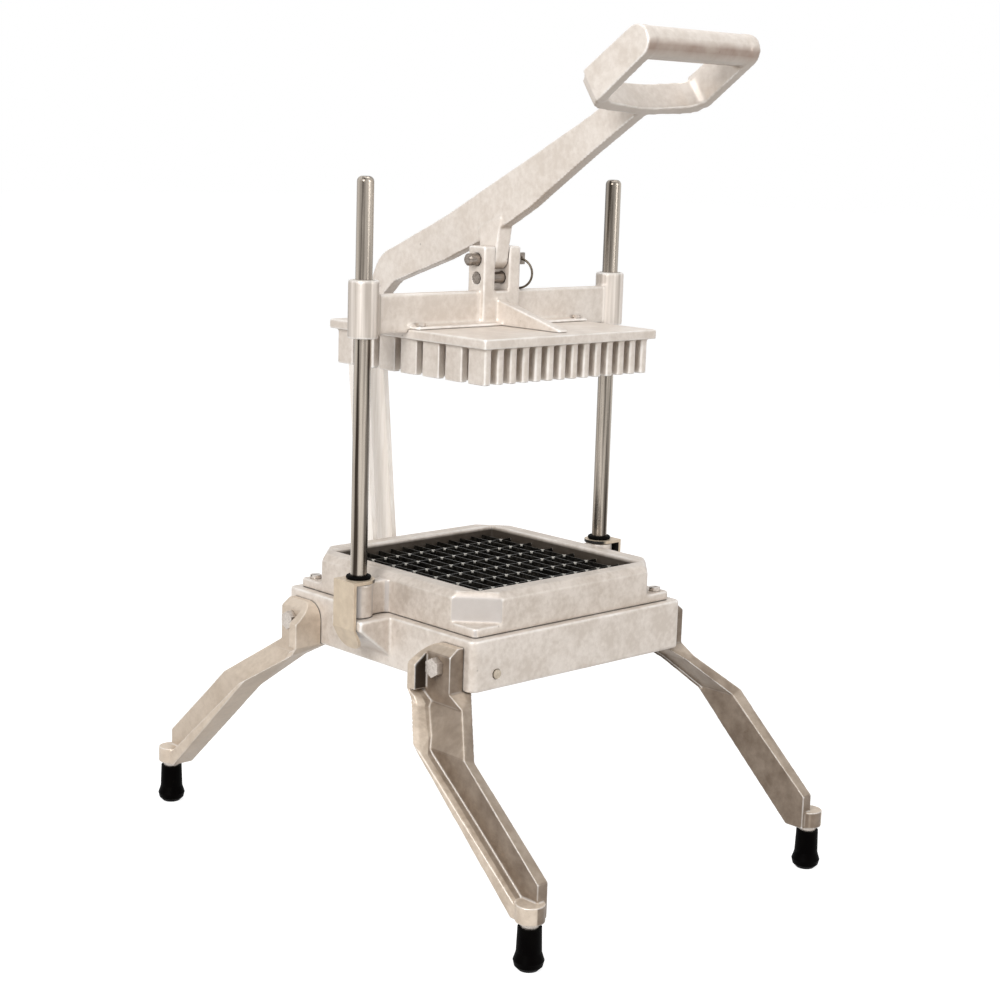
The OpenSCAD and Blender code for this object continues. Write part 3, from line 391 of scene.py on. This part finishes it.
def blade_steel(name):
    """Dark blades, with a painted highlight where their edges cross."""
    mat, tree, shader = new_material(name)
    where = place(tree)
    x, y, z = parts(tree, where)
    off_x = math_node(tree, "PINGPONG", x, PITCH_X / 2)
    off_y = math_node(tree, "PINGPONG", y, PITCH_Y / 2)
    near_x = span(tree, off_x, SPOT_FULL, SPOT_GONE, 1, 0)
    from_y = math_node(tree, "SUBTRACT", PITCH_Y / 2, off_y)
    near_y = span(tree, from_y, SPOT_FULL, SPOT_GONE, 1, 0)
    high = span(tree, z, BLADE_TOP - 2 * SKIN, BLADE_TOP - SKIN)
    painted_glint = math_node(tree, "MULTIPLY", math_node(tree, "MULTIPLY", near_x, near_y), high)
    wet = noise(tree, where, 300, 4)
    colour = mix(tree, span(tree, wet, 0.4, 0.7), rgb(16, 14, 12), rgb(52, 48, 42))
    colour = mix(tree, painted_glint, colour, rgb(225, 222, 215))
    tree.links.new(colour, shader.inputs["Base Color"])
    tree.links.new(span(tree, wet, 0.3, 0.7, 0.3, 0.5), shader.inputs["Roughness"])
    shader.inputs["Metallic"].default_value = 0.6
    bump(tree, shader, wet, 0.1, FINE_GRAIN)
    return mat


def rubber(name, tone, dust, rough):
    """Moulded black rubber, a little dusty."""
    mat, tree, shader = new_material(name)
    where = place(tree)
    dusty = span(tree, noise(tree, where, 90, 5), 0.45, 0.75)
    tree.links.new(mix(tree, dusty, tone, dust), shader.inputs["Base Color"])
    grain = noise(tree, where, 1400, 3)
    dull = span(tree, grain, 0.3, 0.7, rough - 0.05, rough + 0.1)
    tree.links.new(dull, shader.inputs["Roughness"])
    shader.inputs["Specular IOR Level"].default_value = 0.02
    bump(tree, shader, grain, 0.12, FINE_GRAIN)
    return mat


# Colours of the castings, light and dark of each; the dark of the boss streaks is partly painted
# reflection, and the as-cast dark of the legs partly painted shade
PALE = rgb(232, 223, 214)
PALE_DARK = rgb(216, 205, 194)
PUSHER = rgb(225, 216, 207)
PUSHER_DARK = rgb(208, 197, 186)
BOSS_REFLECTION_DARK = rgb(178, 168, 158)
BASE = rgb(226, 217, 208)
BASE_DARK = rgb(205, 194, 183)
FRAME = rgb(218, 208, 198)
FRAME_DARK = rgb(196, 184, 172)
LEG = rgb(214, 199, 182)
LEG_DARK = rgb(188, 172, 154)
REAR_LEG = rgb(215, 200, 183)
REAR_LEG_DARK = rgb(196, 180, 162)
AS_CAST_AND_SHADE = rgb(108, 92, 77)

MATERIALS = {
    "base": cast_metal("base_aluminium", BASE, BASE_DARK, under=0.1),
    "frame": cast_metal("frame_aluminium", FRAME, FRAME_DARK, marks=frame_marks),
    "pusher": cast_metal("pusher_aluminium", PUSHER, PUSHER_DARK, grain=0.15, crevice_shade=0.3,
                         marks=pusher_marks),
    "lever": cast_metal("lever_aluminium", PALE, PALE_DARK, rough=0.36, grain=0.12, under=0.55,
                        crevice_shade=0.5, marks=grip_reflection),
    # the front legs' faces are drawn much darker than the rear legs', which is painted shade
    "front_leg": cast_metal("front_leg_aluminium", LEG, LEG_DARK, grain=0.3,
                            marks=leg_marks(inner=-1, amount=1.0)),
    "rear_leg": cast_metal("rear_leg_aluminium", REAR_LEG, REAR_LEG_DARK, grain=0.3,
                           marks=leg_marks(inner=1, amount=0.2)),
    # the guide rods' dark lines are partly grinding lines and partly painted dark reflection
    "rod": drawn_steel("ground_rod_painted_reflection", rgb(184, 174, 162), rgb(48, 40, 32), rough=0.22,
                       stretch=(1, 1, 0.012), scale=260, metallic=0.85, contrast=0.1),
    "steel": drawn_steel("turned_steel", rgb(214, 206, 198), rgb(168, 158, 149), rough=0.3,
                         stretch=(0.05, 1, 1), scale=700, metallic=0.8, contrast=0.25),
    "pin": drawn_steel("pin_steel", rgb(168, 158, 149), rgb(96, 87, 79), rough=0.3,
                       stretch=(0.05, 1, 1), scale=500, metallic=0.8, contrast=0.25),
    "wire": drawn_steel("ring_wire", rgb(120, 110, 96), rgb(70, 62, 52), rough=0.35,
                        stretch=(1, 1, 1), scale=500, metallic=0.8, contrast=0.25),
    "sheet": clip_sheet("clip_sheet"),
    "bar": drawn_steel("flat_bar", rgb(250, 244, 237), rgb(238, 230, 221), rough=0.36,
                       stretch=(1, 1, 0.06), scale=420, metallic=0.4),
    "plug": drawn_steel("plug_steel", rgb(206, 194, 176), rgb(178, 164, 146), rough=0.4,
                        stretch=(1, 1, 1), scale=420, metallic=0.4),
    "bush": drawn_steel("bush_liner", rgb(228, 222, 213), rgb(214, 206, 196), rough=0.45,
                        stretch=(1, 1, 0.1), scale=500, metallic=0.1),
    "blade": blade_steel("blade_steel"),
    "foot": rubber("foot_rubber", rgb(2, 1, 1), rgb(6, 5, 4), 0.45),
    "bumper": rubber("bumper_rubber", rgb(8, 7, 6), rgb(16, 14, 12), 0.5),
}

# Finish of each node; bolts, nuts, screws, studs and other small pieces are steel
FINISH = {
    "base_frame": "base", "blade_frame": "frame", "front_plug": "plug",
    "pusher_head": "pusher", "pusher_block": "pusher", "lever": "lever",
    "leg_front_left": "front_leg", "leg_front_right": "front_leg",
    "leg_rear_left": "rear_leg", "leg_rear_right": "rear_leg",
    "left_guide_rod": "rod", "right_guide_rod": "rod",
    "release_pin": "pin", "cross_pin": "pin", "pin_ring": "wire",
    "left_frame_clip": "sheet", "right_frame_clip": "sheet",
    "left_link_bar": "bar", "right_link_bar": "bar",
    "long_blades": "blade", "cross_blades": "blade",
    "left_bush": "bush", "right_bush": "bush",
    "left_bumper": "bumper", "right_bumper": "bumper",
    "foot_front_left": "foot", "foot_front_right": "foot",
    "foot_rear_left": "foot", "foot_rear_right": "foot",
}


def finish(obj, name):
    obj.data.materials.clear()
    obj.data.materials.append(MATERIALS[name])


for name, obj in nodes.items():
    finish(obj, FINISH.get(name, "steel"))


# Castings, rounded as a foundry leaves them

def add_block(mesh, low, high):
    """Adds a block between two corners to the mesh."""
    shape = bmesh.new()
    shape.from_mesh(mesh)
    middle = (low + high) / 2
    scale = Matrix.Diagonal((high - low).to_4d())
    scale[3][3] = 1
    bmesh.ops.create_cube(shape, size=1, matrix=Matrix.Translation(middle) @ scale)
    shape.to_mesh(mesh)
    shape.free()


def soften(name, grid=CAST_GRID, passes=CAST_PASSES, blocks=()):
    """A copy of the solid with rounded edges and filled corners, which stands for the node."""
    mesh = nodes[name].data.copy()
    for low, high in blocks:
        add_block(mesh, low, high)
    piece = bpy.data.objects.new(name + "_casting", mesh)
    bpy.context.scene.collection.objects.link(piece)
    remesh = piece.modifiers.new("grid", "REMESH")
    remesh.mode = "VOXEL"
    remesh.voxel_size = grid
    remesh.use_smooth_shade = True
    smooth = piece.modifiers.new("round", "SMOOTH")
    smooth.factor = 0.5
    smooth.iterations = passes
    finish(piece, FINISH[name])
    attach(piece, body_of_node[name])
    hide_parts(name)


def slot_blocks():
    """Blocks that close the narrow blade slots in the four walls, where the blade ends sit."""
    deep = SLOT_IN + SKIN
    z0 = frame_low.z
    z1 = BLADE_TOP + SKIN
    for s in (-1, 1):
        x0, x1 = sorted((s * OPENING_X, s * (OPENING_X + deep)))
        y0, y1 = sorted((s * OPENING_Y, s * (OPENING_Y + deep)))
        yield Vector((x0, SLOT_END - OPENING_Y, z0)), Vector((x1, OPENING_Y - SLOT_END, z1))
        yield Vector((SLOT_END - OPENING_X, y0, z0)), Vector((OPENING_X - SLOT_END, y1, z1))


for name in ("base_frame", "pusher_head", "lever"):
    soften(name)
soften("blade_frame", blocks=tuple(slot_blocks()))
soften("pusher_block", FINE_GRID, FINE_PASSES)
for name in ("leg_front_left", "leg_front_right", "leg_rear_left", "leg_rear_right"):
    soften(name, LEG_GRID, LEG_PASSES)


# Floor, backdrop and light

def seen_directly(tree):
    """1 for rays from the camera and for rays by way of a mirror or glass, else 0."""
    rays = add(tree, "ShaderNodeLightPath").outputs
    either = math_node(tree, "MAXIMUM", rays["Is Camera Ray"], rays["Is Glossy Ray"])
    return math_node(tree, "MAXIMUM", either, rays["Is Transmission Ray"])


def white_sky():
    """Plain soft light, with a white ground for the camera and for reflections."""
    world = bpy.data.worlds.new("studio")
    bpy.context.scene.world = world
    world.use_nodes = True
    tree = world.node_tree
    tree.nodes.clear()
    light = add(tree, "ShaderNodeBackground", {"Color": WHITE, "Strength": SKY_LIGHT})
    white = add(tree, "ShaderNodeBackground", {"Color": WHITE, "Strength": 1.0})
    inputs = {0: seen_directly(tree), 1: light.outputs[0], 2: white.outputs[0]}
    both = add(tree, "ShaderNodeMixShader", inputs)
    out = add(tree, "ShaderNodeOutputWorld")
    tree.links.new(both.outputs[0], out.inputs["Surface"])


def floor():
    """White floor that keeps a faint shadow of the object."""
    bpy.ops.mesh.primitive_plane_add(size=FLOOR_SIZE, location=(0, 0, 0))
    plane = bpy.context.object
    plane.name = "floor"
    mat = bpy.data.materials.new("floor_white")
    mat.use_nodes = True
    tree = mat.node_tree
    tree.nodes.clear()
    glow = add(tree, "ShaderNodeEmission", {"Color": WHITE, "Strength": FLOOR_GLOW})
    faint = add(tree, "ShaderNodeBsdfDiffuse", {"Color": FLOOR_SHADE})
    bright = add(tree, "ShaderNodeAddShader", {0: glow.outputs[0], 1: faint.outputs[0]})
    plain = add(tree, "ShaderNodeBsdfDiffuse", {"Color": FLOOR_BOUNCE})
    inputs = {0: seen_directly(tree), 1: plain.outputs[0], 2: bright.outputs[0]}
    both = add(tree, "ShaderNodeMixShader", inputs)
    out = add(tree, "ShaderNodeOutputMaterial")
    tree.links.new(both.outputs[0], out.inputs["Surface"])
    plane.data.materials.append(mat)


def lamp(name, at, aim, size, power):
    data = bpy.data.lights.new(name, "AREA")
    data.shape = "DISK"
    data.size = size
    data.energy = power
    obj = bpy.data.objects.new(name, data)
    bpy.context.scene.collection.objects.link(obj)
    obj.location = at
    obj.rotation_euler = (Vector(aim) - Vector(at)).to_track_quat("-Z", "Y").to_euler()


def camera():
    data = bpy.data.cameras.new("camera")
    data.sensor_width = SENSOR
    data.lens = FOCAL_PX / IMAGE_PX * SENSOR
    data.clip_end = CLIP_END
    cam = bpy.data.objects.new("camera", data)
    bpy.context.scene.collection.objects.link(cam)
    turn, drop, roll = (math.radians(a) for a in (CAMERA_TURN, CAMERA_DROP, CAMERA_ROLL))
    right = Vector((math.cos(turn), math.sin(turn), 0))
    level = math.cos(drop)
    back = Vector((math.sin(turn) * level, -math.cos(turn) * level, math.sin(drop)))
    up = back.cross(right)
    across = right * math.cos(roll) + up * math.sin(roll)
    upright = up * math.cos(roll) - right * math.sin(roll)
    turned = Matrix((across, upright, back)).transposed()
    cam.matrix_world = Matrix.Translation(CAMERA_AT) @ turned.to_4x4()
    bpy.context.scene.camera = cam


white_sky()
floor()
for name, (at, aim, size, power) in LAMPS.items():
    lamp(name, at, aim, size, power)
camera()
bpy.context.scene.view_settings.view_transform = "Standard"
